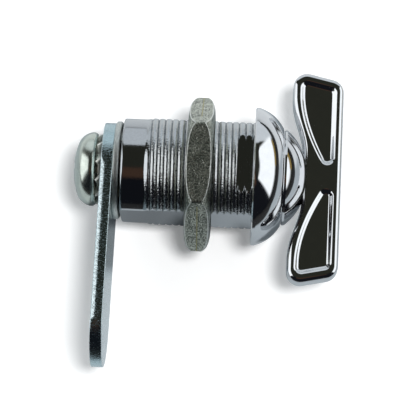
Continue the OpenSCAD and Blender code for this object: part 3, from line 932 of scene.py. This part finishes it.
def nutPiece():
    n = nutSizes
    half = n["thickness"] / 2
    faceRadius = n["boreRadius"] + n["land"]
    cornerReach = n["acrossFlats"] / math.sqrt(3)
    crownWidth = cornerReach + n["crownPast"] - faceRadius
    outline = hexOutline(n["acrossFlats"] / 2, n["cornerRound"])
    turns = [math.atan2(q, p) for p, q in outline]
    reaches = [math.hypot(p, q) for p, q in outline]

    def crownHeight(radius):
        out = (radius - faceRadius) / crownWidth
        return half * (1 - out ** n["crownPower"]) ** (1 / n["crownPower"])

    # rows from the bore over the crowned face to the rounded edge
    edge, bevel = n["edgeRound"], n["boreBevel"]
    front = [[row] * len(turns) for row in (
        (half - bevel, n["boreRadius"]), (half, n["boreRadius"] + bevel), (half, faceRadius))]
    for i in range(1, 11):
        share = math.sin(math.pi / 2 * i / 10)
        crown = [faceRadius + (r - edge - faceRadius) * share for r in reaches]
        front.append([(crownHeight(r), r) for r in crown])
    edgeSteps = 4
    for i in range(1, edgeSteps + 1):
        t = math.pi / 2 * i / edgeSteps
        front.append([(crownHeight(r - edge) - edge * (1 - math.cos(t)), r - edge + edge * math.sin(t))
            for r in reaches])
    back = [[(-x, r) for x, r in row] for row in front]
    side = []
    for t in [n["sideBand"]] + [i / 12 for i in range(1, 12)] + [1 - n["sideBand"]]:
        side.append([(a[0] + (b[0] - a[0]) * t, a[1]) for a, b in zip(front[-1], back[-1])])
    stack = front + side + back[::-1]
    turn = math.radians(n["turn"] + 30)
    bm = bmesh.new()
    wear = bm.verts.layers.float.new("edgeWear")
    made = []
    rear = len(front) + len(side)
    edgeRows = {*range(len(front) - edgeSteps, len(front)), *range(rear, rear + edgeSteps)}
    for k, row in enumerate(stack):
        ring = []
        for (x, r), t in zip(row, turns):
            a = t + turn
            v = bm.verts.new(((n["middle"] + x) * mm, -r * math.sin(a) * mm, r * math.cos(a) * mm))
            v[wear] = 1.0 if k in edgeRows else 0.0
            ring.append(v)
        made.append(ring)
    for a, b in zip(made, made[1:] + made[:1]):
        joinRings(bm, a, b)
    return newObject("mountingNut", bm, (nutCast,), 40)


setOn(nutPiece(), "nut", "mounting_nut")


# spindle and seal keep the CAD shapes and get their finish

for nodeName, finish in (("spindle", spindleBrass), ("spindle_seal", sealRubber)):
    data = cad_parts[nodeName].data
    data.materials.clear()
    data.materials.append(finish)
print("pieces ready")


# studio: a table that the camera sees pale and the metal sees as a pale sheet on a dark table, a painted reflection
# with painted shadow of the lock; dark room above, soft boxes left and right, a panel behind

studio = {
    "tableSize": 6.0, "tableHeight": -12.24, "pale": (0.97, 0.97, 0.97), "blue": (0.455, 0.5, 0.53),
    "dark": (0.03, 0.03, 0.03), "lift": 0.14, "sheetRight": 0.11, "sheetNear": -0.062, "sheetEdge": 0.012,
    "room": (0.026, 0.027, 0.021), "nearRoom": (0.008, 0.009, 0.012), "nearFrom": -0.05, "nearTo": -0.4,
}
# how pale the sheet is in the metal, where it carries painted shadow of the lock, and where each level fades in
sheetShadowLevels = {
    "rear": 0.24, "close": 0.46, "cam": 0.6, "far": 0.76, "underRear": (-0.036, -0.028), "underFront": (-0.003, -0.018),
    "camAlong": (-0.0115, -0.017), "camAcross": (-0.006, -0.016), "farFrom": (0.006, 0.03),
}
# direction of each patch of light: azimuth about Z from +X, elevation, both in degrees
roomPatches = {
    "rightBox": {"azimuth": (-25, 46), "elevation": (4, 52), "tone": (1.29, 1.34, 1.37), "edge": 6},
    "leftBox": {"azimuth": (150, 210), "elevation": (2, 62), "tone": (1.31, 1.35, 1.38), "edge": 4},
    "amber": {"azimuth": (12, 40), "elevation": (-2, 5), "tone": (0.3, 0.21, 0.06), "edge": 2},
    "warm": {"azimuth": (240, 300), "elevation": (60, 82), "tone": (0.07, 0.04, 0.027), "edge": 10},
}
backPanel = {"from": 0.65, "to": 0.7, "tone": (0.72, 0.77, 0.81)}


def tableFinish():
    material, tree, shader = newMaterial("paleTable", 0.0)
    spot = addNode(tree, "ShaderNodeSeparateXYZ", {
        0: addNode(tree, "ShaderNodeTexCoord").outputs["Object"]}).outputs
    edge = studio["sheetEdge"]
    # in the metal the table turns dark beyond the sheet's near and right edges, a painted reflection; the camera sees
    # it all pale
    near = fade(tree, spot["Y"], studio["sheetNear"], studio["sheetNear"] + edge)
    side = fade(tree, spot["X"], studio["sheetRight"], studio["sheetRight"] - edge)
    # painted shadow of the lock on the sheet, seen in the metal: under the barrel's rear end it is darker, by the cam
    # and behind the lock lighter
    s = sheetShadowLevels
    under = calc(tree, "MINIMUM", fade(tree, spot["X"], *s["underRear"]), fade(tree, spot["X"], *s["underFront"]))
    byCam = calc(tree, "MULTIPLY", fade(tree, spot["Y"], *s["camAlong"]), fade(tree, spot["X"], *s["camAcross"]))
    behind = fade(tree, spot["Y"], *s["farFrom"])
    level = calc(tree, "MULTIPLY_ADD", under, s["rear"] - s["close"], s["close"])
    level = calc(tree, "MAXIMUM", level, calc(tree, "MULTIPLY", byCam, s["cam"]))
    level = calc(tree, "MAXIMUM", level, calc(tree, "MULTIPLY", behind, s["far"]))
    sheet = calc(tree, "MULTIPLY", calc(tree, "MULTIPLY", near, side), level)
    # the camera sees the table pale, the metal sees the painted sheet with its painted shadow, and other rays see the
    # dark tone
    ray = addNode(tree, "ShaderNodeLightPath").outputs
    mirrored = calc(tree, "MAXIMUM", ray["Is Glossy Ray"], ray["Is Transmission Ray"])
    seen = calc(tree, "MAXIMUM", ray["Is Camera Ray"], calc(tree, "MULTIPLY", mirrored, sheet))
    tint = ramp(tree, seen, [(0.0, studio["dark"]), (0.5, studio["blue"]), (1.0, studio["pale"])])
    tree.links.new(tint, shader.inputs["Base Color"])
    shader.inputs["Roughness"].default_value = 0.9
    shader.inputs["Specular IOR Level"].default_value = 0.0
    # the camera sees the sheet a little lighter, so that it ends in white
    shader.inputs["Emission Color"].default_value = (1, 1, 1, 1)
    lift = calc(tree, "MULTIPLY", ray["Is Camera Ray"], studio["lift"])
    tree.links.new(lift, shader.inputs["Emission Strength"])
    return material


def tablePiece():
    bm = bmesh.new()
    bmesh.ops.create_grid(bm, x_segments=1, y_segments=1, size=studio["tableSize"] / 2)
    bmesh.ops.translate(bm, vec=(0, 0, studio["tableHeight"] * mm), verts=bm.verts)
    return newObject("paleTable", bm, (tableFinish(),))


tablePiece()


def roomLight():
    world = bpy.data.worlds.new("studioRoom")
    scene.world = world
    world.use_nodes = True
    tree = world.node_tree
    way = addNode(tree, "ShaderNodeTexCoord").outputs["Generated"]
    spot = addNode(tree, "ShaderNodeSeparateXYZ", {0: way}).outputs
    near = fade(tree, spot["Y"], studio["nearFrom"], studio["nearTo"])
    shade = mixTones(tree, near, studio["room"], studio["nearRoom"])
    behind = fade(tree, spot["Y"], backPanel["from"], backPanel["to"])
    shade = mixTones(tree, behind, shade, backPanel["tone"])
    lift = calc(tree, "ARCSINE", spot["Z"])
    for patch in roomPatches.values():
        left, right = (math.radians(v) for v in patch["azimuth"])
        bottom, top = (math.radians(v) for v in patch["elevation"])
        edge = math.radians(patch["edge"])
        middle, half = (left + right) / 2, (right - left) / 2
        # angle from the patch's middle, after turning that middle to +X
        across = calc(tree, "SUBTRACT", calc(tree, "MULTIPLY", spot["Y"], math.cos(middle)),
            calc(tree, "MULTIPLY", spot["X"], math.sin(middle)))
        ahead = calc(tree, "ADD", calc(tree, "MULTIPLY", spot["X"], math.cos(middle)),
            calc(tree, "MULTIPLY", spot["Y"], math.sin(middle)))
        aside = calc(tree, "ABSOLUTE", calc(tree, "ARCTAN2", across, ahead))
        share = fade(tree, aside, half + edge / 2, half - edge / 2)
        share = calc(tree, "MULTIPLY", share, fade(tree, lift, bottom - edge / 2, bottom + edge / 2))
        share = calc(tree, "MULTIPLY", share, fade(tree, lift, top + edge / 2, top - edge / 2))
        shade = mixTones(tree, share, shade, patch["tone"])
    shade = mixTones(tree, addNode(tree, "ShaderNodeLightPath").outputs["Is Camera Ray"], shade, (1, 1, 1))
    background = tree.nodes["Background"]
    tree.links.new(shade, background.inputs["Color"])
    background.inputs["Strength"].default_value = 1.0


roomLight()


overheadLamp = {"at": (0.09, -0.075, 0.482), "size": 0.12, "power": 1.85}


def addLamp(name, spec):
    light = bpy.data.lights.new(name, "AREA")
    light.shape = "DISK"
    light.size = spec["size"]
    light.energy = spec["power"]
    lamp = bpy.data.objects.new(name, light)
    lamp.location = spec["at"]
    lamp.rotation_euler = (-Vector(spec["at"])).to_track_quat("-Z", "Y").to_euler()
    lamp.visible_glossy = False
    scene.collection.objects.link(lamp)


addLamp("overhead", overheadLamp)


# camera at the photograph's place

cameraView = {
    "azimuth": 4.96, "elevation": 75.37, "roll": -2.1, "aimRight": -7.697, "aimUp": -5.364,
    "distance": 305.0, "lens": 154.7,
}


def addCamera(c):
    a, e, r = (math.radians(c[k]) for k in ("azimuth", "elevation", "roll"))
    back = Vector((math.sin(a) * math.cos(e), -math.cos(a) * math.cos(e), math.sin(e)))
    right = Vector((math.cos(a), math.sin(a), 0))
    up = back.cross(right)
    across = right * math.cos(r) + up * math.sin(r)
    upward = up * math.cos(r) - right * math.sin(r)
    data = bpy.data.cameras.new("photoCamera")
    data.lens = c["lens"]
    data.sensor_width = 36
    data.clip_start = 0.01
    data.clip_end = 20
    camera = bpy.data.objects.new("photoCamera", data)
    at = (across * c["aimRight"] + upward * c["aimUp"] + back * c["distance"]) * mm
    turn = Matrix((across, upward, back)).transposed().to_4x4()
    camera.matrix_world = Matrix.Translation(at) @ turn
    scene.collection.objects.link(camera)
    scene.camera = camera


addCamera(cameraView)
scene.view_settings.view_transform = "Standard"
print("studio and camera ready")
